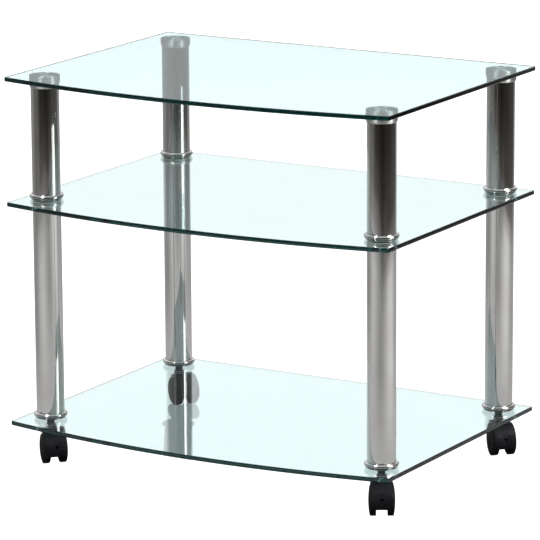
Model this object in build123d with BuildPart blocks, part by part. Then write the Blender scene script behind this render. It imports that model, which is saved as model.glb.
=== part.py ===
from build123d import *

import math
import os

# Television trolley with three glass shelves, four chrome posts and four twin-wheel castors.
# Millimetres, +Z up, front at -Y, floor at Z = 0, origin under the middle of the outline.

# glass shelves
shelf_width = 580.0
shelf_side_depth = 410.0
shelf_bow = 30.0
shelf_corner_radius = 8.0
glass_thickness = 6.0
glass_arris = 0.6
glass_hole_clearance = 1.0
glass_hole_arris = 0.5

# shelf spacing, from the top face of one glass to the top face of the next
middle_shelf_rise = 301.0
top_shelf_rise = 169.0

# posts, measured in from the straight edges of the glass
post_side_inset = 35.0
post_back_inset = 35.0
post_front_inset = 45.0
tube_diameter = 38.0
tube_wall = 1.2

# flared cap bonded under the top shelf
socket_clearance = 0.3
cap_wall = 1.25
cap_straight = 8.0
cap_cone = 3.0
cap_disc = 5.0
cap_lip = 0.5
cap_edge = 0.5
cap_thread_depth = 3.5

# bead collar that each tube stands in
collar_rim_land = 1.2
collar_bead_out = 2.25
collar_bead_radius = 3.6
collar_foot_inset = 1.75
collar_foot_height = 1.0
collar_base = 2.0

# plugs, studs and washers
thread_diameter = 8.0
stud_clearance = 0.3
plug_length = 18.0
plug_chamfer = 1.0
plug_flange = 1.0
cap_stud_length = 15.0
stud_grip = 14.0
washer_inset = 1.0
washer_thickness = 0.6

# castor wheels and axle
wheel_diameter = 41.0
wheel_tread = 8.2
wheel_dome = 1.9
wheel_gap = 14.8
wheel_edge = 0.8
wheel_rim = 2.2
wheel_rim_step = 0.4
wheel_hollow = 5.4
wheel_rib_count = 8
wheel_rib_thickness = 1.2
wheel_rib_inset = 1.2
wheel_hub_wall = 3.5
wheel_side_play = 0.3
axle_diameter = 5.0
axle_cover = 2.0
blind_end_gap = 0.5
running_clearance = 0.05

# castor hood: a web between the wheels and a mudguard over their treads
castor_trail = 15.5
hood_clearance = 1.0
hood_wall = 2.2
hood_side_inset = 0.6
hood_front_drop = 18.0
hood_back_angle = 116.0
hood_edge = 1.5
web_heel = 10.0
boss_rise = 0.8
panel_width = 12.0
panel_depth = 0.5
panel_top = 12.0
panel_hole_width = 4.4
panel_hole_height = 3.6
panel_hole_rise = 5.9
panel_hole_depth = 6.0

# castor stem
stem_shoulder = 1.1
stem_neck_length = 7.9
stem_neck_gap = 0.3
stem_pin_diameter = 7.0
stem_pin_length = 20.3
stem_pin_chamfer = 0.8
castor_washer_margin = 2.9
castor_washer_thickness = 0.8

# castor headings at rest, in degrees from the front towards the right
heading_front_left = 45.0
heading_front_right = 30.0
heading_back_left = 55.0
heading_back_right = 43.0

# places of the posts
half_depth = (shelf_side_depth + shelf_bow) / 2
back_y = half_depth
bow_front_y = -half_depth
side_front_y = back_y - shelf_side_depth
post_x = shelf_width / 2 - post_side_inset
post_back_y = back_y - post_back_inset
post_front_y = side_front_y + post_front_inset

# castor levels, from the floor up to the glass
wheel_radius = wheel_diameter / 2
hood_inner = wheel_radius + hood_clearance
hood_outer = hood_inner + hood_wall
boss_top_z = wheel_radius + hood_outer + boss_rise
neck_z = boss_top_z + stem_neck_gap
neck_top_z = neck_z + stem_neck_length
pin_tip_z = neck_z - stem_pin_length

# shelf and tube levels
bottom_glass_z = neck_top_z + castor_washer_thickness
bottom_top_z = bottom_glass_z + glass_thickness
middle_top_z = bottom_top_z + middle_shelf_rise
middle_glass_z = middle_top_z - glass_thickness
top_top_z = middle_top_z + top_shelf_rise
top_glass_z = top_top_z - glass_thickness
lower_collar_z = bottom_top_z + washer_thickness
lower_tube_z = lower_collar_z + collar_base
lower_tube_top_z = middle_glass_z - washer_thickness - plug_flange
upper_collar_z = middle_top_z + washer_thickness
upper_tube_z = upper_collar_z + collar_base
upper_tube_top_z = top_glass_z - cap_disc

# radii shared by pieces that fit together
tube_radius = tube_diameter / 2
tube_bore = tube_radius - tube_wall
socket_radius = tube_radius + socket_clearance
thread_radius = thread_diameter / 2
thread_hole = thread_radius + stud_clearance
neck_radius = thread_radius + stem_shoulder
half_web = wheel_gap / 2 - wheel_side_play
half_hood = wheel_gap / 2 + wheel_tread - hood_side_inset
wheel_face = wheel_gap / 2 + wheel_tread + wheel_dome
axle_bore_end = wheel_face - axle_cover

posts = {
    "front_left": (-post_x, post_front_y, heading_front_left),
    "front_right": (post_x, post_front_y, heading_front_right),
    "back_left": (-post_x, post_back_y, heading_back_left),
    "back_right": (post_x, post_back_y, heading_back_right),
}
post_places = [(x, y) for x, y, heading in posts.values()]

os.makedirs("parts", exist_ok=True)


def save(part, name):
    part.label = name
    export_step(part, "parts/" + name + ".step")


def upright(x, y, z):
    # plane through a post: local X to the right, local Y up
    return Plane((x, y, z), x_dir=(1, 0, 0), z_dir=(0, -1, 0))


def post_axis(x, y):
    return Axis((x, y, 0), (0, 0, 1))


def shelf(floor_z, holes):
    # straight sides and back, one shallow arc along the front, flat edges with an arris
    with BuildPart() as plate:
        with BuildSketch(Plane.XY.offset(floor_z)) as outline:
            with BuildLine():
                Polyline(
                    (-shelf_width / 2, side_front_y),
                    (-shelf_width / 2, back_y),
                    (shelf_width / 2, back_y),
                    (shelf_width / 2, side_front_y),
                )
                ThreePointArc(
                    (shelf_width / 2, side_front_y),
                    (0, bow_front_y),
                    (-shelf_width / 2, side_front_y),
                )
            make_face()
            fillet(outline.vertices(), shelf_corner_radius)
        extrude(amount=glass_thickness)
        levels = plate.faces().sort_by(Axis.Z)
        chamfer([*levels[0].edges(), *levels[-1].edges()], glass_arris)
        if holes:
            with BuildSketch(Plane.XY.offset(floor_z)):
                with Locations(*post_places):
                    Circle(thread_radius + glass_hole_clearance)
            extrude(amount=glass_thickness, mode=Mode.SUBTRACT)
            bores = plate.faces().filter_by(GeomType.CYLINDER)
            small = bores.filter_by(lambda f: f.radius < thread_radius + 2 * glass_hole_clearance)
            chamfer(small.edges().filter_by(GeomType.CIRCLE), glass_hole_arris)
    return plate.part


def cap(x, y):
    # turned cup: disc under the glass with a blind thread, straight wall, cone in to the tube
    radius = socket_radius + cap_wall
    bottom = -cap_straight - cap_cone
    with BuildPart() as cup:
        with BuildSketch(upright(x, y, top_glass_z)):
            with BuildLine():
                Polyline(
                    (0, 0),
                    (radius - cap_edge, 0),
                    (radius, -cap_edge),
                    (radius, -cap_straight),
                    (socket_radius + cap_lip, bottom),
                    (socket_radius, bottom),
                    (socket_radius, -cap_disc),
                    (thread_radius, -cap_disc),
                    (thread_radius, cap_thread_depth - cap_disc),
                    (0, cap_thread_depth - cap_disc),
                    close=True,
                )
            make_face()
        revolve(axis=post_axis(x, y))
    return cup.part


def collar(x, y, z):
    # bead ring with a floor that the tube stands on and the stud passes through
    rim = socket_radius + collar_rim_land
    bead = rim + collar_bead_out
    foot = bead - collar_foot_inset
    bead_centre = bead - collar_bead_radius
    bead_level = collar_foot_height + math.sqrt(collar_bead_radius**2 - (foot - bead_centre) ** 2)
    top = bead_level + math.sqrt(collar_bead_radius**2 - (rim - bead_centre) ** 2)
    with BuildPart() as ring:
        with BuildSketch(upright(x, y, z)):
            with BuildLine():
                Polyline(
                    (rim, top),
                    (socket_radius, top),
                    (socket_radius, collar_base),
                    (thread_hole, collar_base),
                    (thread_hole, 0),
                    (foot, 0),
                    (foot, collar_foot_height),
                )
                ThreePointArc((foot, collar_foot_height), (bead, bead_level), (rim, top))
            make_face()
        revolve(axis=post_axis(x, y))
    return ring.part


def tube(x, y, low, high):
    with BuildPart() as pipe:
        with BuildSketch(Plane.XY.offset(low)):
            with Locations((x, y)):
                Circle(tube_radius)
                Circle(tube_bore, mode=Mode.SUBTRACT)
        extrude(amount=high - low)
    return pipe.part


def plugs(mouth_z, inward):
    # plugs pressed into one end of each tube; inward is +1 for upwards, -1 for downwards
    with BuildPart() as group:
        for x, y in post_places:
            with BuildSketch(upright(x, y, mouth_z)):
                with BuildLine():
                    Polyline(
                        (thread_radius, 0),
                        (tube_bore, 0),
                        (tube_bore, inward * (plug_length - plug_chamfer)),
                        (tube_bore - plug_chamfer, inward * plug_length),
                        (thread_radius, inward * plug_length),
                        close=True,
                    )
                make_face()
            revolve(axis=post_axis(x, y))
    return group.part


def flanged_plugs(mouth_z):
    # plugs of the lower tubes' top ends, with a flange that covers the tube's rim
    with BuildPart() as group:
        for x, y in post_places:
            with BuildSketch(upright(x, y, mouth_z)):
                with BuildLine():
                    Polyline(
                        (thread_radius, plug_flange),
                        (tube_radius, plug_flange),
                        (tube_radius, 0),
                        (tube_bore, 0),
                        (tube_bore, plug_chamfer - plug_length),
                        (tube_bore - plug_chamfer, -plug_length),
                        (thread_radius, -plug_length),
                        close=True,
                    )
                make_face()
            revolve(axis=post_axis(x, y))
    return group.part


def studs(low, high):
    # threaded rods, drawn at the thread's outer size
    with BuildPart() as group:
        with BuildSketch(Plane.XY.offset(low)):
            with Locations(*post_places):
                Circle(thread_radius)
        extrude(amount=high - low)
    return group.part


def washers(low, radius, thickness):
    with BuildPart() as group:
        with BuildSketch(Plane.XY.offset(low)):
            with Locations(*post_places):
                Circle(radius)
                Circle(thread_hole, mode=Mode.SUBTRACT)
        extrude(amount=thickness)
    return group.part


def castor_level(x, y, heading, z):
    # level plane on a stem: local X along the trail, local Y along the axle
    angle = math.radians(heading)
    return Plane((x, y, z), x_dir=(math.sin(angle), -math.cos(angle), 0), z_dir=(0, 0, 1))


def castor_side(x, y, heading):
    # upright plane through a stem: local X along the trail, local Y up
    angle = math.radians(heading)
    trail = (math.sin(angle), -math.cos(angle), 0)
    return Plane((x, y, 0), x_dir=trail, z_dir=(-math.cos(angle), -math.sin(angle), 0))


def around_axle(radius, angle):
    # point of the side plane on a circle about the axle
    return (castor_trail + radius * math.cos(angle), wheel_radius + radius * math.sin(angle))


def stem(x, y):
    # swivel pin in the hood, neck under the glass, thread up into the lower plug
    pin = stem_pin_diameter / 2
    tip = lower_tube_z + stud_grip
    with BuildPart() as spindle:
        with BuildSketch(upright(x, y, 0)):
            with BuildLine():
                Polyline(
                    (0, pin_tip_z),
                    (pin - stem_pin_chamfer, pin_tip_z),
                    (pin, pin_tip_z + stem_pin_chamfer),
                    (pin, neck_z),
                    (neck_radius, neck_z),
                    (neck_radius, neck_top_z),
                    (thread_radius, neck_top_z),
                    (thread_radius, tip),
                    (0, tip),
                    close=True,
                )
            make_face()
        revolve(axis=post_axis(x, y))
    return spindle.part


def hood(x, y, heading):
    side = castor_side(x, y, heading)
    low = math.radians(-hood_front_drop)
    high = math.radians(hood_back_angle)
    middle = (low + high) / 2
    front_low = around_axle(hood_outer, low)
    crown_back = around_axle(hood_outer, high)
    with BuildPart() as shell:
        # mudguard over both treads
        with BuildSketch(side):
            with BuildLine():
                ThreePointArc(front_low, around_axle(hood_outer, middle), crown_back)
                Line(crown_back, around_axle(hood_inner, high))
                ThreePointArc(
                    around_axle(hood_inner, high),
                    around_axle(hood_inner, middle),
                    around_axle(hood_inner, low),
                )
                Line(around_axle(hood_inner, low), front_low)
            make_face()
        extrude(amount=half_hood, both=True)
        rims = shell.edges().filter_by(GeomType.CIRCLE)
        fillet(rims.filter_by(lambda e: e.radius > hood_outer - hood_wall / 2), hood_edge)
        # web between the wheels, from under the mudguard back to the stem
        with BuildSketch(side):
            with BuildLine():
                ThreePointArc(front_low, around_axle(hood_outer, middle), crown_back)
                Polyline(
                    crown_back,
                    (-half_web, crown_back[1]),
                    (-half_web, front_low[1] + web_heel),
                    (0, front_low[1]),
                    front_low,
                )
            make_face()
        extrude(amount=half_web, both=True)
        # round end of the web about the stem, raised a little as a boss
        with BuildSketch(castor_level(x, y, heading, 0)):
            Rectangle(2 * half_web, 3 * half_web, align=(Align.MAX, Align.CENTER))
            Circle(half_web, mode=Mode.SUBTRACT)
        extrude(amount=boss_top_z, mode=Mode.SUBTRACT)
        with BuildSketch(castor_level(x, y, heading, boss_top_z)):
            Circle(half_web)
        extrude(amount=crown_back[1] - boss_top_z - boss_rise)
        # blind bore for the swivel pin and cross bore for the axle
        with BuildSketch(castor_level(x, y, heading, pin_tip_z - blind_end_gap)):
            Circle(stem_pin_diameter / 2 + running_clearance)
        extrude(amount=boss_top_z, mode=Mode.SUBTRACT)
        with BuildSketch(side):
            with Locations((castor_trail, wheel_radius)):
                Circle(axle_diameter / 2)
        extrude(amount=half_web, both=True, mode=Mode.SUBTRACT)
        # set-back front panel, open at the bottom
        face = hood_outer - panel_depth
        proud = hood_outer + hood_wall
        start = math.asin(panel_top / hood_outer)
        with BuildSketch(side):
            with BuildLine():
                ThreePointArc(
                    around_axle(face, low),
                    around_axle(face, (low + start) / 2),
                    around_axle(face, start),
                )
                Line(around_axle(face, start), around_axle(proud, start))
                ThreePointArc(
                    around_axle(proud, start),
                    around_axle(proud, (low + start) / 2),
                    around_axle(proud, low),
                )
                Line(around_axle(proud, low), around_axle(face, low))
            make_face()
        extrude(amount=panel_width / 2, both=True, mode=Mode.SUBTRACT)
        # small square opening in the panel
        level = castor_level(x, y, heading, wheel_radius + panel_hole_rise)
        mouth = level.from_local_coords(Vector(castor_trail + hood_outer, 0, 0))
        with BuildSketch(Plane(mouth, x_dir=level.y_dir, z_dir=-level.x_dir)):
            Rectangle(panel_hole_width, panel_hole_height)
        extrude(amount=panel_hole_depth, mode=Mode.SUBTRACT)
    return shell.part


def axle(x, y, heading):
    with BuildPart() as pin:
        with BuildSketch(castor_side(x, y, heading)):
            with Locations((castor_trail, wheel_radius)):
                Circle(axle_diameter / 2)
        extrude(amount=axle_bore_end - blind_end_gap, both=True)
    return pin.part


def wheel(x, y, heading, hand):
    # half section from hub to tread to domed face; hand is +1 or -1 along the axle
    level = castor_level(x, y, heading, wheel_radius)
    centre = level.from_local_coords(Vector(castor_trail, 0, 0))
    inside = wheel_gap / 2
    shoulder = inside + wheel_tread
    bore = axle_diameter / 2 + running_clearance
    hub = bore + wheel_hub_wall
    rim = wheel_radius - wheel_rim
    corner = wheel_radius - wheel_edge
    step = shoulder + wheel_rim_step
    # the dome is one arc from the rim's step to the middle of the face
    sag = wheel_face - step
    dome_radius = (rim**2 + sag**2) / (2 * sag)
    half_way = wheel_face - dome_radius + math.sqrt(dome_radius**2 - (rim / 2) ** 2)
    with BuildPart() as disc:
        with BuildSketch(Plane(centre, x_dir=level.x_dir, z_dir=-level.z_dir * hand)):
            with BuildLine():
                Polyline(
                    (0, wheel_face),
                    (0, axle_bore_end),
                    (bore, axle_bore_end),
                    (bore, inside),
                    (hub, inside),
                    (hub, inside + wheel_hollow),
                    (rim, inside + wheel_hollow),
                    (rim, inside),
                    (corner, inside),
                )
                RadiusArc((corner, inside), (wheel_radius, inside + wheel_edge), -wheel_edge)
                Line((wheel_radius, inside + wheel_edge), (wheel_radius, shoulder - wheel_edge))
                RadiusArc((wheel_radius, shoulder - wheel_edge), (corner, shoulder), -wheel_edge)
                Polyline((corner, shoulder), (rim, shoulder), (rim, step))
                ThreePointArc((rim, step), (rim / 2, half_way), (0, wheel_face))
            make_face()
        revolve(axis=Axis(centre, level.y_dir))
        # ribs across the hollow, from hub to rim
        start = centre - level.y_dir * hand * (inside + wheel_rib_inset)
        with BuildSketch(Plane(start, x_dir=level.x_dir, z_dir=-level.y_dir * hand)):
            with PolarLocations((hub + rim) / 2, wheel_rib_count):
                Rectangle(rim - hub + wheel_rib_thickness, wheel_rib_thickness)
        extrude(amount=wheel_hollow)
    return disc.part


save(shelf(top_glass_z, False), "top_shelf")
save(shelf(middle_glass_z, True), "middle_shelf")
save(shelf(bottom_glass_z, True), "bottom_shelf")

for corner, (x, y, heading) in posts.items():
    save(cap(x, y), "cap_" + corner)
    save(tube(x, y, upper_tube_z, upper_tube_top_z), "upper_tube_" + corner)
    save(collar(x, y, upper_collar_z), "middle_collar_" + corner)
    save(tube(x, y, lower_tube_z, lower_tube_top_z), "lower_tube_" + corner)
    save(collar(x, y, lower_collar_z), "bottom_collar_" + corner)
    save(stem(x, y), "castor_stem_" + corner)
    save(hood(x, y, heading), "castor_hood_" + corner)
    save(axle(x, y, heading), "castor_axle_" + corner)
    save(wheel(x, y, heading, 1), "castor_wheel_left_" + corner)
    save(wheel(x, y, heading, -1), "castor_wheel_right_" + corner)

save(plugs(upper_tube_top_z, -1), "upper_top_plugs")
save(plugs(upper_tube_z, 1), "upper_bottom_plugs")
save(flanged_plugs(lower_tube_top_z), "lower_top_plugs")
save(plugs(lower_tube_z, 1), "lower_bottom_plugs")
cap_stud_top_z = upper_tube_top_z + cap_thread_depth - blind_end_gap
save(studs(upper_tube_top_z - cap_stud_length, cap_stud_top_z), "cap_studs")
save(studs(lower_tube_top_z - stud_grip, upper_tube_z + stud_grip), "middle_studs")

washer_radius = tube_radius - washer_inset
castor_washer_radius = neck_radius + castor_washer_margin
save(washers(middle_top_z, washer_radius, washer_thickness), "middle_upper_washers")
save(washers(lower_tube_top_z + plug_flange, washer_radius, washer_thickness), "middle_lower_washers")
save(washers(bottom_top_z, washer_radius, washer_thickness), "bottom_upper_washers")
save(washers(neck_top_z, castor_washer_radius, castor_washer_thickness), "castor_washers")
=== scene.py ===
import math

import bmesh
import bpy
from mathutils import Matrix, Vector


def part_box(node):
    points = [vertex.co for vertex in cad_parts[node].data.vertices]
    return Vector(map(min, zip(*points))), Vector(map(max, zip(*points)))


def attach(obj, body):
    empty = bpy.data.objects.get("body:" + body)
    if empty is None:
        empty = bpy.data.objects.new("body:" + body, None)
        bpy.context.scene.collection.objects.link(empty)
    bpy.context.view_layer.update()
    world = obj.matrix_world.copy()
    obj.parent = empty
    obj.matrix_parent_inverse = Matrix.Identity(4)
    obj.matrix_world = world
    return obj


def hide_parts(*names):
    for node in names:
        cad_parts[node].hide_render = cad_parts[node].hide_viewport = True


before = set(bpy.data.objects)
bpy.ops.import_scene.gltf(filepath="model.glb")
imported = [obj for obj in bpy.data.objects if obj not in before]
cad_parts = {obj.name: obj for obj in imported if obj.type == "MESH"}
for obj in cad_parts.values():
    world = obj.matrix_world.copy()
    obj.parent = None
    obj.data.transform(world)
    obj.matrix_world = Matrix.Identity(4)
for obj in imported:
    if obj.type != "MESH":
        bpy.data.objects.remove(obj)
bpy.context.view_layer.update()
scene = bpy.context.scene
scene.view_settings.view_transform = "Standard"
# light crosses many panes and mirrors here
scene.cycles.max_bounces = 40
scene.cycles.glossy_bounces = 32
scene.cycles.transmission_bounces = 40
mm = 0.001
trolleyBody = "trolley"
corners = ("front_left", "front_right", "back_left", "back_right")
print("frame loaded:", len(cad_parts), "nodes")


def camel(words):
    first, *rest = words.split("_")
    return first + "".join(w.capitalize() for w in rest)


def centreOf(node):
    low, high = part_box(node)
    return (low + high) / 2


def radiusOf(node):
    low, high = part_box(node)
    return (high.x - low.x) / 2


# where each post's axis meets the floor
postPlace = {c: Vector((*centreOf("lower_tube_" + c).xy, 0)) for c in corners}


# small helpers for node trees; an input takes a fixed value or another node's output
def addNode(tree, kind, **values):
    node = tree.nodes.new("ShaderNode" + kind)
    for key, value in values.items():
        setattr(node, key, value)
    return node


def feed(socket, value):
    if isinstance(value, bpy.types.NodeSocket):
        socket.id_data.links.new(value, socket)
    else:
        socket.default_value = value


def setInputs(node, **values):
    for key, value in values.items():
        feed(node.inputs[key.replace("_", " ")], value)
    return node


def objectPlace(tree):
    return addNode(tree, "TexCoord").outputs["Object"]


def mathOf(tree, operation, *values):
    node = addNode(tree, "Math", operation=operation)
    for socket, value in zip(node.inputs, values):
        feed(socket, value)
    return node.outputs["Value"]


def rangeOf(tree, mask, low, high):
    return setInputs(addNode(tree, "MapRange"), Value=mask, To_Min=low, To_Max=high).outputs["Result"]


def smoothRange(tree, value, span, levels=(0.0, 1.0)):
    step = setInputs(
        addNode(tree, "MapRange", interpolation_type="SMOOTHSTEP"),
        Value=value, From_Min=span[0], From_Max=span[1], To_Min=levels[0], To_Max=levels[1],
    )
    return step.outputs["Result"]


def bumpFrom(tree, height, strength, distance):
    bump = setInputs(addNode(tree, "Bump"), Height=height, Strength=strength, Distance=distance)
    return bump.outputs["Normal"]


def grey(level):
    return (level, level, level)


def mixColours(tree, mask, first, second, blend="MIX"):
    mix = addNode(tree, "Mix", data_type="RGBA", blend_type=blend)
    feed(mix.inputs[0], mask)
    for socket, value in ((mix.inputs[6], first), (mix.inputs[7], second)):
        feed(socket, (*value, 1.0) if isinstance(value, tuple) else value)
    return mix.outputs[2]


def makeGroup(name, inputs, outputs):
    tree = bpy.data.node_groups.new(name, "ShaderNodeTree")
    for label, kind, value in inputs:
        socket = tree.interface.new_socket(label, in_out="INPUT", socket_type="NodeSocket" + kind)
        socket.default_value = value
    for label, kind in outputs:
        tree.interface.new_socket(label, in_out="OUTPUT", socket_type="NodeSocket" + kind)
    return tree, tree.nodes.new("NodeGroupInput").outputs, tree.nodes.new("NodeGroupOutput")


def useGroup(tree, group, **values):
    node = tree.nodes.new("ShaderNodeGroup")
    node.node_tree = group
    return setInputs(node, **values)


# soft blotches between two levels, for smudges, dust and uneven finish
def makeBlotches():
    tree, ins, outs = makeGroup(
        "softBlotches",
        [("Scale", "Float", 20.0), ("Detail", "Float", 3.0), ("From", "Float", 0.4), ("To", "Float", 0.7)],
        [("Mask", "Float")],
    )
    noise = setInputs(
        addNode(tree, "TexNoise"), Vector=objectPlace(tree), Scale=ins["Scale"], Detail=ins["Detail"],
    )
    setInputs(outs, Mask=smoothRange(tree, noise.outputs["Fac"], (ins["From"], ins["To"])))
    return tree


# fine lines left by polishing or turning; Stretch squeezes the noise along each axis
def makeLines():
    tree, ins, outs = makeGroup(
        "polishLines",
        [("Scale", "Float", 200.0), ("Stretch", "Vector", (1.0, 1.0, 1.0))],
        [("Mask", "Float"), ("Height", "Float")],
    )
    squeeze = addNode(tree, "VectorMath", operation="MULTIPLY")
    feed(squeeze.inputs[0], objectPlace(tree))
    feed(squeeze.inputs[1], ins["Stretch"])
    noise = setInputs(
        addNode(tree, "TexNoise"),
        Vector=squeeze.outputs["Vector"], Scale=ins["Scale"], Detail=4.0, Roughness=0.6,
    )
    levels = setInputs(addNode(tree, "MapRange"), Value=noise.outputs["Fac"], From_Min=0.3, From_Max=0.7)
    setInputs(outs, Mask=levels.outputs["Result"], Height=noise.outputs["Fac"])
    return tree


# moulded plastic grain: fine cells with a slower unevenness under them
def makeGrain():
    tree, ins, outs = makeGroup(
        "mouldGrain",
        [("Scale", "Float", 900.0), ("Unevenness", "Float", 0.3)],
        [("Mask", "Float"), ("Height", "Float")],
    )
    place = objectPlace(tree)
    cells = setInputs(addNode(tree, "TexVoronoi", feature="SMOOTH_F1"), Vector=place, Scale=ins["Scale"])
    slow = setInputs(addNode(tree, "TexNoise"), Vector=place, Scale=55.0, Detail=3.0).outputs["Fac"]
    height = mathOf(tree, "MULTIPLY_ADD", slow, ins["Unevenness"], cells.outputs["Distance"])
    setInputs(outs, Mask=slow, Height=height)
    return tree


# rubbed edges, from how far the surface bends outwards
def makeEdgeRub():
    tree, ins, outs = makeGroup(
        "edgeRub",
        [("From", "Float", 0.53), ("To", "Float", 0.62)],
        [("Mask", "Float")],
    )
    bend = addNode(tree, "NewGeometry").outputs["Pointiness"]
    setInputs(outs, Mask=smoothRange(tree, bend, (ins["From"], ins["To"])))
    return tree


softBlotches = makeBlotches()
polishLines = makeLines()
mouldGrain = makeGrain()
edgeRub = makeEdgeRub()


def newMaterial(name):
    material = bpy.data.materials.new(name)
    material.use_nodes = True
    tree = material.node_tree
    return material, tree, tree.nodes["Principled BSDF"]


glassFinish = {
    "tint": (0.86, 1.0, 1.0),
    "smudgeTint": (0.85, 0.99, 0.99),
    "smudges": {"Scale": 9.0, "Detail": 4.0, "From": 0.52, "To": 0.75},
    "roughness": (0.0, 0.012),
    "ior": 1.5,
    "depthColour": (0.14, 0.55, 0.54),
    "depthDensity": 14.0,
}


def makeGlass():
    s = glassFinish
    material, tree, shader = newMaterial("clearGlass")
    smudges = useGroup(tree, softBlotches, **s["smudges"]).outputs["Mask"]
    setInputs(
        shader,
        Base_Color=mixColours(tree, smudges, s["tint"], s["smudgeTint"]),
        Metallic=0.0,
        Roughness=rangeOf(tree, smudges, *s["roughness"]),
        IOR=s["ior"],
        Transmission_Weight=1.0,
    )
    depth = setInputs(
        addNode(tree, "VolumeAbsorption"), Color=(*s["depthColour"], 1.0), Density=s["depthDensity"],
    )
    setInputs(tree.nodes["Material Output"], Volume=depth.outputs["Volume"])
    return material


chromeFinish = {
    "bright": (0.64, 0.635, 0.625),
    "dull": (0.58, 0.57, 0.555),
    "cloud": {"Scale": 14.0, "Detail": 3.0, "From": 0.35, "To": 0.75},
    "bump": (0.03, 0.02 * mm),  # strength and height
    "tubeChrome": {"lines": {"Scale": 260.0, "Stretch": (1.0, 1.0, 0.05)}, "roughness": (0.02, 0.055)},
    "beadChrome": {"lines": {"Scale": 500.0, "Stretch": (1.0, 1.0, 1.0)}, "roughness": (0.03, 0.08)},
}


def makeChrome(name):
    s = chromeFinish
    own = s[name]
    material, tree, shader = newMaterial(name)
    cloud = useGroup(tree, softBlotches, **s["cloud"]).outputs["Mask"]
    lines = useGroup(tree, polishLines, **own["lines"]).outputs
    setInputs(
        shader,
        Base_Color=mixColours(tree, cloud, s["bright"], s["dull"]),
        Metallic=1.0,
        Roughness=rangeOf(tree, lines["Mask"], *own["roughness"]),
        Normal=bumpFrom(tree, lines["Height"], *s["bump"]),
    )
    return material


turnedFinish = {
    "cloud": {"Scale": 60.0, "Detail": 2.0, "From": 0.3, "To": 0.8},
    "rotation": 0.25,  # the grooves run round the cap's axis
    "turnedChrome": {
        "colour": (0.58, 0.58, 0.57), "groove": (0.48, 0.48, 0.47), "roughness": (0.36, 0.44), "turned": 0.9,
    },
    # painted shade: the disc glued under the glass has its rougher turned finish and also a darker metal
    # colour than the cap's wall, so it looks shaded under the glass
    "shadedBondedFace": {
        "colour": (0.4, 0.4, 0.405), "groove": (0.32, 0.32, 0.325), "roughness": (0.54, 0.6), "turned": 1.0,
    },
}


def makeTurned(name):
    s = turnedFinish
    own = s[name]
    material, tree, shader = newMaterial(name)
    cloud = useGroup(tree, softBlotches, **s["cloud"]).outputs["Mask"]
    around = addNode(tree, "Tangent", direction_type="RADIAL", axis="Z")
    setInputs(
        shader,
        Base_Color=mixColours(tree, cloud, own["colour"], own["groove"]),
        Metallic=1.0,
        Roughness=rangeOf(tree, cloud, *own["roughness"]),
        Anisotropic=own["turned"],
        Anisotropic_Rotation=s["rotation"],
        Tangent=around.outputs["Tangent"],
    )
    return material


plasticFinish = {
    "specular": 0.12,
    "unevenness": 0.3,
    "dust": {"Scale": 120.0, "Detail": 5.0, "From": 0.5, "To": 0.8},
    "dustShare": 0.25,
    "rubShare": 0.5,
    "bump": (0.18, 0.1 * mm),  # strength and height
    "castorHood": {
        "colour": (0.006, 0.006, 0.0075), "rubbed": (0.022, 0.022, 0.025),
        "roughness": (0.46, 0.62), "grain": 1100.0,
    },
    "castorWheel": {
        "colour": (0.0075, 0.0068, 0.0062), "rubbed": (0.028, 0.026, 0.023),
        "roughness": (0.5, 0.66), "grain": 700.0,
    },
}


def makePlastic(name):
    s = plasticFinish
    own = s[name]
    material, tree, shader = newMaterial(name + "Plastic")
    grain = useGroup(tree, mouldGrain, Scale=own["grain"], Unevenness=s["unevenness"]).outputs
    rub = useGroup(tree, edgeRub).outputs["Mask"]
    dust = useGroup(tree, softBlotches, **s["dust"]).outputs["Mask"]
    dusty = mixColours(tree, rangeOf(tree, dust, 0.0, s["dustShare"]), own["colour"], own["rubbed"])
    setInputs(
        shader,
        Base_Color=mixColours(tree, rangeOf(tree, rub, 0.0, s["rubShare"]), dusty, own["rubbed"]),
        Roughness=rangeOf(tree, grain["Mask"], *own["roughness"]),
        Specular_IOR_Level=s["specular"],
        Normal=bumpFrom(tree, grain["Height"], *s["bump"]),
    )
    return material


plainFinish = {
    "cloud": {"Detail": 4.0, "From": 0.35, "To": 0.7},
    "zincSteel": {
        "colour": (0.34, 0.34, 0.35), "worn": (0.2, 0.2, 0.205), "roughness": (0.3, 0.45),
        "metallic": 1.0, "scale": 160.0,
    },
    "darkSteel": {
        "colour": (0.045, 0.046, 0.05), "worn": (0.09, 0.09, 0.095), "roughness": (0.28, 0.42),
        "metallic": 1.0, "scale": 180.0,
    },
    "plugNylon": {
        "colour": (0.68, 0.67, 0.62), "worn": (0.6, 0.59, 0.54), "roughness": (0.45, 0.6),
        "metallic": 0.0, "scale": 90.0,
    },
    # painted shade: the clear vinyl washers are made an opaque dark grey-green, which stands for the shade
    # between glass and steel and for the dark steel seen through them
    "shadedSoftVinyl": {
        "colour": (0.08, 0.09, 0.087), "worn": (0.13, 0.142, 0.138), "roughness": (0.35, 0.5),
        "metallic": 0.0, "scale": 120.0,
    },
}


def makePlain(name):
    s = plainFinish
    own = s[name]
    material, tree, shader = newMaterial(name)
    cloud = useGroup(tree, softBlotches, Scale=own["scale"], **s["cloud"]).outputs["Mask"]
    setInputs(
        shader,
        Base_Color=mixColours(tree, cloud, own["colour"], own["worn"]),
        Metallic=own["metallic"],
        Roughness=rangeOf(tree, cloud, *own["roughness"]),
    )
    return material


clearGlass = makeGlass()
tubeChrome = makeChrome("tubeChrome")
beadChrome = makeChrome("beadChrome")
turnedChrome = makeTurned("turnedChrome")
shadedBondedFace = makeTurned("shadedBondedFace")
hoodPlastic = makePlastic("castorHood")
wheelPlastic = makePlastic("castorWheel")
zincSteel = makePlain("zincSteel")
darkSteel = makePlain("darkSteel")
plugNylon = makePlain("plugNylon")
shadedSoftVinyl = makePlain("shadedSoftVinyl")
print("materials made")


# shaping helpers
mergeDistance = 1e-7
flatNormal = 0.9999  # the upright share of a level face's normal


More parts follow.
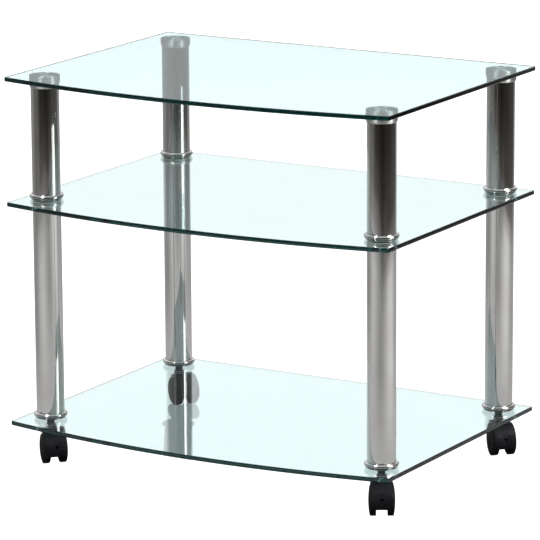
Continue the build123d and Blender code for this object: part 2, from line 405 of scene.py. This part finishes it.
def finishPiece(bm, name, materials, body, node, shadeAngle):
    mesh = bpy.data.meshes.new(name)
    bm.to_mesh(mesh)
    bm.free()
    mesh.shade_smooth()
    mesh.set_sharp_from_angle(angle=math.radians(shadeAngle))
    piece = bpy.data.objects.new(name, mesh)
    scene.collection.objects.link(piece)
    for material in materials:
        mesh.materials.append(material)
    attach(piece, body)
    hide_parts(node)
    return piece


def tidy(bm):
    bmesh.ops.remove_doubles(bm, verts=bm.verts, dist=mergeDistance)
    bmesh.ops.recalc_face_normals(bm, faces=bm.faces)


def drawLine(bm, points, closed=False):
    verts = [bm.verts.new(p) for p in points]
    for pair in zip(verts, verts[1:]):
        bm.edges.new(pair)
    if closed:
        bm.edges.new((verts[-1], verts[0]))
    return verts


def drawArc(bm, start, centre, axis, angle, steps):
    bmesh.ops.spin(bm, geom=[bm.verts.new(start)], cent=centre, axis=axis, angle=angle, steps=steps)


def turnRound(bm, steps):
    # the whole line is turned once about the upright axis
    bmesh.ops.spin(
        bm, geom=bm.verts[:] + bm.edges[:], cent=(0, 0, 0), axis=(0, 0, 1), angle=2 * math.pi, steps=steps,
        use_merge=True,
    )
    tidy(bm)


def turnProfile(points, steps, place, closed=False):
    # a half section of (radius, height) points, turned and put in its place
    bm = bmesh.new()
    drawLine(bm, [(r, 0, z) for r, z in points], closed)
    turnRound(bm, steps)
    bmesh.ops.translate(bm, verts=bm.verts, vec=place)
    return bm


def bevelSharp(bm, limit, width, steps, chosen=lambda edge: True):
    least = math.radians(limit)
    sharp = [e for e in bm.edges if e.is_manifold and e.calc_face_angle() > least and chosen(e)]
    bmesh.ops.bevel(
        bm, geom=sharp, offset=width, offset_type="OFFSET", segments=steps, profile=0.5,
        affect="EDGES", material=-1, clamp_overlap=True,
    )


def roundCorners(bm, verts, cut, steps):
    bmesh.ops.bevel(
        bm, geom=verts, offset=cut, offset_type="OFFSET", segments=steps, profile=0.5,
        affect="VERTICES", material=-1, clamp_overlap=False,
    )


shelfShape = {
    "bow": 30 * mm,
    "arcSteps": 72,
    "cornerRadius": 3.5 * mm,
    "cornerSteps": 10,
    "edge": {"limit": 60, "width": 1.5 * mm, "steps": 10},
    "holeRadius": 5 * mm,
    "holeSteps": 32,
    "holeEdge": {"limit": 60, "width": 0.5 * mm, "steps": 2},
    "levelSlack": 0.01 * mm,
    "shadeAngle": 20,
}


def drillShelf(bm, levels):
    # the flat faces are filled again round the four bolt holes, and the holes walled
    s = shelfShape
    bm.normal_update()
    bmesh.ops.delete(bm, geom=[f for f in bm.faces if abs(f.normal.z) > flatNormal], context="FACES_ONLY")
    rims = {c: [] for c in corners}
    for level in levels:
        border = [e for e in bm.edges if e.is_boundary and abs(e.verts[0].co.z - level) < s["levelSlack"]]
        for c in corners:
            spot = Matrix.Translation(postPlace[c] + Vector((0, 0, level)))
            hole = bmesh.ops.create_circle(bm, segments=s["holeSteps"], radius=s["holeRadius"], matrix=spot)
            rim = [e for e in bm.edges if e.verts[0] in hole["verts"]]
            rims[c] += rim
            border += rim
        bmesh.ops.triangle_fill(bm, edges=border, use_beauty=True)
    for c in corners:
        bmesh.ops.bridge_loops(bm, edges=rims[c])
    tidy(bm)
    bevelSharp(bm, **s["holeEdge"])


def shelfPiece(node, withHoles):
    s = shelfShape
    low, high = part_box(node)
    half, front, back = high.x, low.y, high.y
    arcRadius = (half ** 2 + s["bow"] ** 2) / (2 * s["bow"])
    sweep = 2 * math.asin(half / arcRadius)
    bm = bmesh.new()
    tip = (half, front + s["bow"], low.z)
    drawArc(bm, tip, (0, front + arcRadius, low.z), (0, 0, 1), -sweep, s["arcSteps"])
    rightEnd = max(bm.verts, key=lambda v: v.co.x)
    leftEnd = min(bm.verts, key=lambda v: v.co.x)
    backLeft = bm.verts.new((-half, back, low.z))
    backRight = bm.verts.new((half, back, low.z))
    for pair in ((leftEnd, backLeft), (backLeft, backRight), (backRight, rightEnd)):
        bm.edges.new(pair)
    bmesh.ops.contextual_create(bm, geom=bm.edges[:])
    halfTurn = (math.pi / 2 - sweep / 2) / 2  # where the bow meets a side
    roundCorners(bm, [backLeft, backRight], s["cornerRadius"], s["cornerSteps"])
    roundCorners(bm, [leftEnd, rightEnd], s["cornerRadius"] * math.tan(halfTurn), s["cornerSteps"])
    raised = bmesh.ops.extrude_face_region(bm, geom=bm.faces[:])["geom"]
    raisedVerts = [g for g in raised if isinstance(g, bmesh.types.BMVert)]
    bmesh.ops.translate(bm, verts=raisedVerts, vec=(0, 0, high.z - low.z))
    tidy(bm)
    bevelSharp(bm, **s["edge"])
    if withHoles:
        drillShelf(bm, (low.z, high.z))
    shelf = finishPiece(bm, camel(node) + "Glass", [clearGlass], trolleyBody, node, s["shadeAngle"])
    for face in shelf.data.polygons:
        face.use_smooth = abs(face.normal.z) < flatNormal
    shelf.visible_shadow = False
    return shelf


shelves = [
    shelfPiece(node, withHoles)
    for node, withHoles in (("top_shelf", False), ("middle_shelf", True), ("bottom_shelf", True))
]
print("shelves made")


# a land is the strip beside a rounded edge that keeps the long faces' shading even
tubeShape = {
    "wall": 1.2 * mm,
    "land": 0.9 * mm,
    "steps": 160,
    "edge": {"limit": 60, "width": 0.3 * mm, "steps": 3},
    "shadeAngle": 30,
}


def tubePiece(node, corner):
    s = tubeShape
    low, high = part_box(node)
    outer = radiusOf(node)
    inner = outer - s["wall"]
    lowLand, highLand = low.z + s["land"], high.z - s["land"]
    profile = [
        (inner, low.z), (outer, low.z), (outer, lowLand), (outer, highLand), (outer, high.z),
        (inner, high.z), (inner, highLand), (inner, lowLand),
    ]
    bm = turnProfile(profile, s["steps"], postPlace[corner], closed=True)
    bevelSharp(bm, **s["edge"])
    finishPiece(bm, camel(node), [tubeChrome], trolleyBody, node, s["shadeAngle"])


capShape = {
    "gap": 0.04 * mm,
    "straight": 8.0 * mm,
    "disc": 5.0 * mm,
    "socket": 0.3 * mm,
    "lip": 0.5 * mm,
    "land": 0.6 * mm,
    "steps": 128,
    "edge": {"limit": 20, "width": 0.2 * mm, "steps": 3},
    "topNormal": 0.9,
    "shadeAngle": 40,
}


def capPiece(node, corner, tubeRadius):
    s = capShape
    low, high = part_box(node)
    radius = radiusOf(node)
    land = s["land"]
    socket = tubeRadius + s["socket"]
    lip = socket + s["lip"]
    top = high.z - s["gap"]
    coneTop = high.z - s["straight"]
    discFoot = high.z - s["disc"]
    lean = (radius - lip) / (coneTop - low.z)
    profile = [
        (0, top), (radius - land, top), (radius, top), (radius, top - land),
        (radius, coneTop + land), (radius, coneTop), (radius - land * lean, coneTop - land),
        (lip + land * lean, low.z + land), (lip, low.z), (socket, low.z), (socket, discFoot), (0, discFoot),
    ]
    bm = turnProfile(profile, s["steps"], postPlace[corner])
    bevelSharp(bm, **s["edge"])
    for face in bm.faces:
        if face.normal.z > s["topNormal"] and face.calc_center_median().z > top - s["edge"]["width"]:
            face.material_index = 1
    materials = [turnedChrome, shadedBondedFace]
    finishPiece(bm, camel(node), materials, trolleyBody, node, s["shadeAngle"])


collarShape = {
    "gap": 0.02 * mm,
    "footInset": 1.75 * mm,
    "footHeight": 1.0 * mm,
    "base": 2.0 * mm,
    "bore": 4.3 * mm,
    "socket": 0.3 * mm,
    "rimLand": 1.2 * mm,
    "beadRadius": 3.6 * mm,
    "beadSteps": 20,
    "steps": 144,
    "edge": {"limit": 40, "width": 0.2 * mm, "steps": 2},
    "shadeAngle": 35,
}


def collarPiece(node, corner, tubeRadius):
    s = collarShape
    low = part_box(node)[0]
    bow = s["beadRadius"]
    beadCentre = radiusOf(node) - bow
    foot = radiusOf(node) - s["footInset"]
    footTop = low.z + s["footHeight"]
    socket = tubeRadius + s["socket"]
    rim = socket + s["rimLand"]
    rise = math.sqrt(bow ** 2 - (foot - beadCentre) ** 2)
    sweep = math.asin(rise / bow) + math.acos((rim - beadCentre) / bow)
    bm = bmesh.new()
    drawArc(bm, (foot, 0, footTop), (beadCentre, 0, footTop + rise), (0, -1, 0), sweep, s["beadSteps"])
    beadTop = max(bm.verts, key=lambda v: v.co.z)
    beadFoot = min(bm.verts, key=lambda v: v.co.z)
    verts = drawLine(bm, [
        (socket, 0, beadTop.co.z), (socket, 0, low.z + s["base"]), (s["bore"], 0, low.z + s["base"]),
        (s["bore"], 0, low.z + s["gap"]), (foot, 0, low.z + s["gap"]),
    ])
    bm.edges.new((beadTop, verts[0]))
    bm.edges.new((verts[-1], beadFoot))
    turnRound(bm, s["steps"])
    bmesh.ops.translate(bm, verts=bm.verts, vec=postPlace[corner])
    bevelSharp(bm, **s["edge"])
    finishPiece(bm, camel(node), [beadChrome], trolleyBody, node, s["shadeAngle"])


for c in corners:
    tubeRadius = radiusOf("lower_tube_" + c)
    tubePiece("lower_tube_" + c, c)
    tubePiece("upper_tube_" + c, c)
    capPiece("cap_" + c, c, tubeRadius)
    collarPiece("middle_collar_" + c, c, tubeRadius)
    collarPiece("bottom_collar_" + c, c, tubeRadius)
print("posts made")


washerShape = {
    "gap": 0.03 * mm,
    "bore": 4.3 * mm,
    "steps": 96,
    "edge": {"limit": 60, "width": 0.12 * mm, "steps": 2},
    "shadeAngle": 40,
}


def washerPieces(node):
    s = washerShape
    low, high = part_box(node)
    radius = radiusOf(node) - postPlace["front_right"].x  # the node holds all four
    bottom, top = low.z + s["gap"], high.z - s["gap"]
    profile = [(s["bore"], bottom), (radius, bottom), (radius, top), (s["bore"], top)]
    whole = bmesh.new()
    for c in corners:
        bm = turnProfile(profile, s["steps"], postPlace[c], closed=True)
        bevelSharp(bm, **s["edge"])
        ring = bpy.data.meshes.new("washer")
        bm.to_mesh(ring)
        bm.free()
        whole.from_mesh(ring)
        bpy.data.meshes.remove(ring)
    finishPiece(whole, camel(node), [shadedSoftVinyl], trolleyBody, node, s["shadeAngle"])


for node in ("middle_upper_washers", "middle_lower_washers", "bottom_upper_washers", "castor_washers"):
    washerPieces(node)
print("washers made")


stemShape = {
    "pin": 3.5 * mm,
    "pinLength": 20.3 * mm,
    "pinChamfer": 0.8 * mm,
    "neckLength": 7.9 * mm,
    "thread": 4.0 * mm,
    "land": 1.0 * mm,
    "slack": 0.01 * mm,
    "steps": 72,
    "edge": {"limit": 60, "width": 0.35 * mm, "steps": 3},
    "shadeAngle": 30,
}


def stemPiece(node, corner):
    s = stemShape
    low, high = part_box(node)
    pin, neck, thread = s["pin"], radiusOf(node), s["thread"]
    neckFoot = low.z + s["pinLength"]
    neckTop = neckFoot + s["neckLength"]
    profile = [
        (0, low.z), (pin - s["pinChamfer"], low.z), (pin, low.z + s["pinChamfer"]), (pin, neckFoot),
        (neck, neckFoot), (neck, neckFoot + s["land"]), (neck, neckTop - s["land"]), (neck, neckTop),
        (thread, neckTop), (thread, high.z), (0, high.z),
    ]

    def onNeck(edge):
        heights = [v.co.z for v in edge.verts]
        return max(heights) < neckTop + s["slack"] and min(heights) > neckFoot - s["slack"]

    bm = turnProfile(profile, s["steps"], postPlace[corner])
    bevelSharp(bm, **s["edge"], chosen=onNeck)
    finishPiece(bm, camel(node), [darkSteel], trolleyBody, node, s["shadeAngle"])


# distances along the axle are measured from its middle
wheelShape = {
    "inside": 7.4 * mm,
    "tread": 8.2 * mm,
    "face": 17.5 * mm,
    "domeSteps": 18,
    "rim": 2.2 * mm,
    "rimStep": 0.4 * mm,
    "round": 0.8 * mm,
    "roundSteps": 5,
    "hollow": 5.4 * mm,
    "hub": 6.05 * mm,
    "bore": 2.55 * mm,
    "boreEnd": 15.5 * mm,
    "ribCount": 8,
    "ribThick": 1.2 * mm,
    "ribInset": 1.2 * mm,
    "steps": 120,
    "edge": {"limit": 50, "width": 0.16 * mm, "steps": 2},
    "shadeAngle": 35,
}


def addRibs(bm, rim):
    s = wheelShape
    size = Matrix.Diagonal((rim - s["hub"] + s["ribThick"], s["ribThick"], s["hollow"], 1))
    spot = Matrix.Translation(((rim + s["hub"]) / 2, 0, s["inside"] + s["ribInset"] + s["hollow"] / 2))
    for i in range(s["ribCount"]):
        turn = Matrix.Rotation(2 * math.pi * i / s["ribCount"], 4, "Z")
        bmesh.ops.create_cube(bm, size=1.0, matrix=turn @ spot @ size)


def wheelPiece(node, corner, body):
    s = wheelShape
    low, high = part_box(node)
    radius = (high.z - low.z) / 2
    rim = radius - s["rim"]
    inside, hub, bore, boreEnd = s["inside"], s["hub"], s["bore"], s["boreEnd"]
    shoulder = inside + s["tread"]
    hollowEnd = inside + s["hollow"]
    sag = s["face"] - (shoulder + s["rimStep"])
    domeRadius = (rim ** 2 + sag ** 2) / (2 * sag)
    domeSweep = math.asin(rim / domeRadius)
    bm = bmesh.new()
    drawArc(bm, (0, 0, s["face"]), (0, 0, s["face"] - domeRadius), (0, 1, 0), domeSweep, s["domeSteps"])
    domeEnd = max(bm.verts, key=lambda v: v.co.x)
    verts = drawLine(bm, [
        (rim, 0, shoulder), (radius, 0, shoulder), (radius, 0, inside), (rim, 0, inside), (rim, 0, hollowEnd),
        (hub, 0, hollowEnd), (hub, 0, inside), (bore, 0, inside), (bore, 0, boreEnd), (0, 0, boreEnd),
    ])
    bm.edges.new((domeEnd, verts[0]))
    roundCorners(bm, verts[1:3], s["round"], s["roundSteps"])
    turnRound(bm, s["steps"])
    bevelSharp(bm, **s["edge"])
    addRibs(bm, rim)
    axle = centreOf("castor_axle_" + corner)
    along = (centreOf(node) - axle).normalized()
    trail = Vector((along.y, -along.x, 0))
    turn = Matrix((trail, along.cross(trail), along)).transposed()
    bmesh.ops.transform(bm, matrix=Matrix.Translation(axle) @ turn.to_4x4(), verts=bm.verts)
    finishPiece(bm, camel(node), [wheelPlastic], body, node, s["shadeAngle"])


hoodShape = {
    "merge": 1e-6,
    "flat": 0.8,
    "edge": {"limit": 50, "width": 0.16 * mm, "steps": 2},
    "shadeAngle": 35,
}


def hoodPiece(node, body):
    # the frame's hood with its sharp edges eased
    s = hoodShape
    bm = bmesh.new()
    bm.from_mesh(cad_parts[node].data)
    bmesh.ops.remove_doubles(bm, verts=bm.verts, dist=s["merge"])
    bmesh.ops.dissolve_limit(bm, angle_limit=math.radians(s["flat"]), verts=bm.verts, edges=bm.edges)
    bevelSharp(bm, **s["edge"])
    finishPiece(bm, camel(node), [hoodPlastic], body, node, s["shadeAngle"])


for c in corners:
    stemPiece("castor_stem_" + c, c)
    hoodPiece("castor_hood_" + c, "castor_" + c)
    for side in ("left", "right"):
        wheelPiece("castor_wheel_%s_%s" % (side, c), c, "wheel_%s_%s" % (side, c))
print("castors made")


# pieces kept from the frame only change their finish
def dress(node, material):
    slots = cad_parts[node].data.materials
    slots.clear()
    slots.append(material)


for node in ("upper_top_plugs", "upper_bottom_plugs", "lower_top_plugs", "lower_bottom_plugs"):
    dress(node, plugNylon)
for node in ("cap_studs", "middle_studs"):
    dress(node, zincSteel)
for c in corners:
    dress("castor_axle_" + c, zincSteel)
print("inner pieces dressed")


# camera at the picture's viewing angle, in degrees
cameraPlace = {
    "place": (2.60303, -4.42290, 1.45063),
    "azimuth": 30.431,
    "elevation": 13.0357,
    "roll": -0.3298,
    "lens": 262.097,
    "sensor": 36.0,
}


def outward(turn, rise):
    # the way out from the trolley, turned from the camera's side and raised from the floor
    a = math.radians(cameraPlace["azimuth"] + turn)
    e = math.radians(rise)
    return Vector((math.sin(a) * math.cos(e), -math.cos(a) * math.cos(e), math.sin(e)))


def makeCamera():
    s = cameraPlace
    a, r = math.radians(s["azimuth"]), math.radians(s["roll"])
    back = outward(0.0, s["elevation"])
    right = Vector((math.cos(a), math.sin(a), 0))
    up = back.cross(right)
    turned = math.cos(r) * right + math.sin(r) * up
    upright = math.cos(r) * up - math.sin(r) * right
    heading = Matrix((turned, upright, back)).transposed().to_4x4()
    camera = bpy.data.objects.new("camera", bpy.data.cameras.new("camera"))
    camera.data.lens = s["lens"]
    camera.data.sensor_width = s["sensor"]
    camera.matrix_world = Matrix.Translation(s["place"]) @ heading
    scene.collection.objects.link(camera)
    scene.camera = camera


makeCamera()
print("camera placed")


# white ground and surroundings to the camera, a room of light and dark bands to the chrome and glass
studio = {
    "floorSize": 40.0,
    "pale": 1.1,
    "shadowShare": 0.1,
    "floorPaint": 0.18,
    "ambient": 0.45,
    "zenith": 0.8,
    "zenithRise": (0.45, 0.95),  # by the sine of the height
    "noMirror": 0.5,  # fewer bounces than one
}
# what the chrome and glass see round them, by bearing from the camera in degrees
floorRound = [(-180, 0.45), (-108, 0.36), (-54, 0.72), (0, 0.41), (64, 0.92), (108, 0.5), (180, 0.45)]
floorBack = [
    (-180, 1.0), (-120, 0.9), (-80, 0.25), (-40, 0.0), (60, 0.0), (110, 0.1), (135, 0.7), (180, 1.0),
]
wallRound = [
    (-180, 1.1), (-145, 1.1), (-125, 0.95), (-100, 0.35), (-60, 0.25), (-35, 0.3), (-15, 0.12), (0, 0.1),
    (35, 0.12), (60, 0.3), (88, 0.18), (112, 0.2), (135, 0.5), (152, 1.1), (180, 1.1),
]
# the walls are dimmer low down, by the sine of the height
wallRise = [(0.0, 0.45), (0.1885, 0.45), (0.1955, 1.0), (1.0, 1.0)]
# the floor seen through the shelves: its paint takes the back light, its glow changes by metres out
floorThrough = {"paint": 0.2, "near": 0.285, "far": 1.26, "between": (2.1, 2.45)}
# the mirrored floor: even near the trolley, dim close under a mirror and where it is seen steeply
floorOut = {
    "reach": 3.0,
    "near": (0.35, 1.1),
    "nearLevel": 0.62,
    "close": (0.12, 0.165),
    "closeLevel": 0.12,
    "steep": (0.35, 0.68),
    "steepLevel": 0.12,
}
# how the mirrored floor dims away from the trolley, by metres
floorFade = [
    (1.35, (1.0, 1.0, 1.0)), (1.55, (0.8, 0.8, 0.8)), (1.8, (0.42, 0.41, 0.40)), (2.05, (0.17, 0.16, 0.15)),
    (2.4, (0.08, 0.073, 0.063)), (2.8, (0.045, 0.04, 0.034)),
]
rightFade = [
    (1.35, (1.0, 1.0, 1.0)), (1.58, (0.95, 0.95, 0.95)), (1.72, (0.65, 0.64, 0.63)),
    (1.86, (0.22, 0.21, 0.20)), (2.1, (0.09, 0.084, 0.075)), (2.8, (0.045, 0.04, 0.034)),
]
# bearings where the second fade holds, and how far the first one reaches
rightSide = [(-180, 0.0), (25, 0.0), (48, 1.0), (85, 1.0), (112, 0.0), (180, 0.0)]
fadeReach = [
    (-180, 1.0), (-60, 1.04), (-22, 1.09), (-9, 1.07), (2, 1.0), (10, 0.97), (32, 1.0), (180, 1.0),
]


def rampOf(tree, value, stops):
    ramp = setInputs(addNode(tree, "ValToRGB"), Fac=value)
    ramp.color_ramp.interpolation = "EASE"
    marks = ramp.color_ramp.elements
    while len(marks) < len(stops):
        marks.new(1.0)
    for mark, (position, colour) in zip(marks, stops):
        mark.position = position
        mark.color = (*colour, 1)
    return ramp.outputs["Color"]


def roundRamp(tree, place, stops):
    # levels by bearing, with the camera's side in the middle of the ramp
    turn = setInputs(
        addNode(tree, "Mapping"),
        Vector=place, Rotation=(0, 0, math.radians(90 - cameraPlace["azimuth"])),
    )
    around = setInputs(addNode(tree, "TexGradient", gradient_type="RADIAL"), Vector=turn.outputs["Vector"])
    levels = [(0.5 + bearing / 360, grey(level)) for bearing, level in stops]
    return rampOf(tree, around.outputs["Fac"], levels)


def seenMask(tree, path):
    # straight to the camera, or through glass with no mirror on the way
    bounces = mathOf(tree, "ADD", path["Glossy Depth"], path["Diffuse Depth"])
    direct = mathOf(tree, "LESS_THAN", bounces, studio["noMirror"])
    through = mathOf(tree, "MULTIPLY", direct, path["Is Transmission Ray"])
    return mathOf(tree, "MAXIMUM", through, path["Is Camera Ray"])


def joinShaders(tree, kind, *given):
    node = addNode(tree, kind)
    for socket, value in zip(node.inputs, given):
        feed(socket, value)
    return node.outputs["Shader"]


def floorSeen(tree, path, distance):
    s = floorThrough
    glow = smoothRange(tree, distance, s["between"], (s["near"], s["far"]))
    pale = setInputs(
        addNode(tree, "Emission"),
        Color=(*grey(1), 1), Strength=rangeOf(tree, path["Is Camera Ray"], glow, studio["pale"]),
    )
    paint = setInputs(
        addNode(tree, "BsdfDiffuse"),
        Color=rangeOf(tree, path["Is Camera Ray"], s["paint"], studio["shadowShare"]),
    )
    return joinShaders(tree, "AddShader", pale.outputs[0], paint.outputs[0])


def floorMirrored(tree, path, distance, place):
    s = floorOut
    share = mathOf(tree, "DIVIDE", distance, s["reach"])
    reached = mathOf(tree, "DIVIDE", share, roundRamp(tree, place, fadeReach))
    fade = rampOf(tree, reached, [(out / s["reach"], colour) for out, colour in floorFade])
    aside = rampOf(tree, share, [(out / s["reach"], colour) for out, colour in rightFade])
    fade = mixColours(tree, roundRamp(tree, place, rightSide), fade, aside)
    fade = mixColours(tree, roundRamp(tree, place, floorBack), fade, grey(1))
    near = smoothRange(tree, distance, s["near"], (1.0, 0.0))
    level = mixColours(tree, near, roundRamp(tree, place, floorRound), grey(s["nearLevel"]))
    close = smoothRange(tree, path["Ray Length"], s["close"], (s["closeLevel"], 1.0))
    facing = addNode(tree, "LayerWeight").outputs["Facing"]
    steep = smoothRange(tree, facing, s["steep"], (s["steepLevel"], 1.0))
    glow = setInputs(
        addNode(tree, "Emission"),
        Color=mixColours(tree, 1.0, level, fade, "MULTIPLY"),
        Strength=rangeOf(tree, path["Is Transmission Ray"], close, steep),
    )
    lit = setInputs(addNode(tree, "BsdfDiffuse"), Color=(*grey(studio["floorPaint"]), 1))
    return joinShaders(tree, "MixShader", path["Is Glossy Ray"], lit.outputs[0], glow.outputs[0])


def makeFloorMaterial():
    material, tree, shader = newMaterial("studioFloor")
    tree.nodes.remove(shader)
    path = addNode(tree, "LightPath").outputs
    place = objectPlace(tree)
    length = addNode(tree, "VectorMath", operation="LENGTH")
    feed(length.inputs[0], place)
    distance = length.outputs["Value"]
    mirrored = floorMirrored(tree, path, distance, place)
    surface = joinShaders(
        tree, "MixShader", seenMask(tree, path), mirrored, floorSeen(tree, path, distance),
    )
    setInputs(tree.nodes["Material Output"], Surface=surface)
    return material


def makeFloor():
    bm = bmesh.new()
    bmesh.ops.create_grid(bm, x_segments=1, y_segments=1, size=studio["floorSize"] / 2)
    mesh = bpy.data.meshes.new("studioFloor")
    bm.to_mesh(mesh)
    bm.free()
    mesh.materials.append(makeFloorMaterial())
    floor = bpy.data.objects.new("studioFloor", mesh)
    scene.collection.objects.link(floor)
    return floor


def makeWorld():
    world = bpy.data.worlds.new("studio")
    scene.world = world
    world.use_nodes = True
    tree = world.node_tree
    path = addNode(tree, "LightPath").outputs
    place = addNode(tree, "TexCoord").outputs["Generated"]
    height = setInputs(addNode(tree, "SeparateXYZ"), Vector=place).outputs["Z"]
    rise = rampOf(tree, height, [(sine, grey(level)) for sine, level in wallRise])
    lower = mixColours(tree, 1.0, roundRamp(tree, place, wallRound), rise, "MULTIPLY")
    walls = mixColours(tree, smoothRange(tree, height, studio["zenithRise"]), lower, grey(studio["zenith"]))
    mirrored = mixColours(tree, path["Is Glossy Ray"], grey(studio["ambient"]), walls)
    setInputs(tree.nodes["Background"], Color=mixColours(tree, seenMask(tree, path), mirrored, grey(1)))


# which things a lamp lights, or leaves out
def makeLampSet(name, state, things):
    lampSet = bpy.data.collections.new(name)
    for thing in things:
        lampSet.objects.link(thing)
    for linked in lampSet.collection_objects:
        linked.light_linking.link_state = state
    return lampSet


def placeLamp(light, place, out, lampSet):
    lamp = bpy.data.objects.new(light.name, light)
    lamp.matrix_world = Matrix.Translation(place) @ out.to_track_quat("Z", "Y").to_matrix().to_4x4()
    lamp.visible_camera = False
    lamp.light_linking.receiver_collection = lampSet
    scene.collection.objects.link(lamp)


softBoxes = {
    "keyBox": {"turn": 66.0, "rise": 44.0, "reach": 2.2, "size": (0.3, 1.2), "power": 34.0},
    "fillBox": {"turn": -42.0, "rise": 44.0, "reach": 2.2, "size": (0.26, 1.1), "power": 28.0},
    "sideBox": {"turn": 61.4, "rise": 22.0, "reach": 1.58, "size": (0.68, 0.9), "power": 8.5},
}
softBoxAim = Vector((0, 0, 0.28))
twoMirrors = 1.5  # more bounces than one


def makeSoftBox(name, lampSet, mirroredOnly):
    s = softBoxes[name]
    light = bpy.data.lights.new(name, "AREA")
    light.shape = "RECTANGLE"
    light.size, light.size_y = s["size"]
    light.energy = s["power"]
    if mirroredOnly:
        light.use_nodes = True
        tree = light.node_tree
        mirrors = addNode(tree, "LightPath").outputs["Glossy Depth"]
        setInputs(tree.nodes["Emission"], Strength=mathOf(tree, "GREATER_THAN", mirrors, twoMirrors))
    out = outward(s["turn"], s["rise"])
    placeLamp(light, softBoxAim + out * s["reach"], out, lampSet)


# a low light from behind that only the floor takes, so the posts shade the floor under the shelves
backLight = {"turn": 180.7, "rise": 28.0, "spread": 0.6, "power": 22.0}


def makeBackLight(lampSet):
    s = backLight
    light = bpy.data.lights.new("backLight", "SUN")
    light.energy = s["power"]
    light.angle = math.radians(s["spread"])
    placeLamp(light, (0, 0, 0), outward(s["turn"], s["rise"]), lampSet)


studioFloor = makeFloor()
makeBackLight(makeLampSet("floorOnly", "INCLUDE", [studioFloor]))
makeWorld()
# no soft box shows its outline in a shelf itself, only in the posts that mirror the shelf
besideShelves = makeLampSet("besideShelves", "EXCLUDE", [*shelves, studioFloor])
shelvesOnly = makeLampSet("shelvesOnly", "INCLUDE", shelves)
for name in softBoxes:
    makeSoftBox(name, besideShelves, False)
    makeSoftBox(name, shelvesOnly, True)
print("stage made")
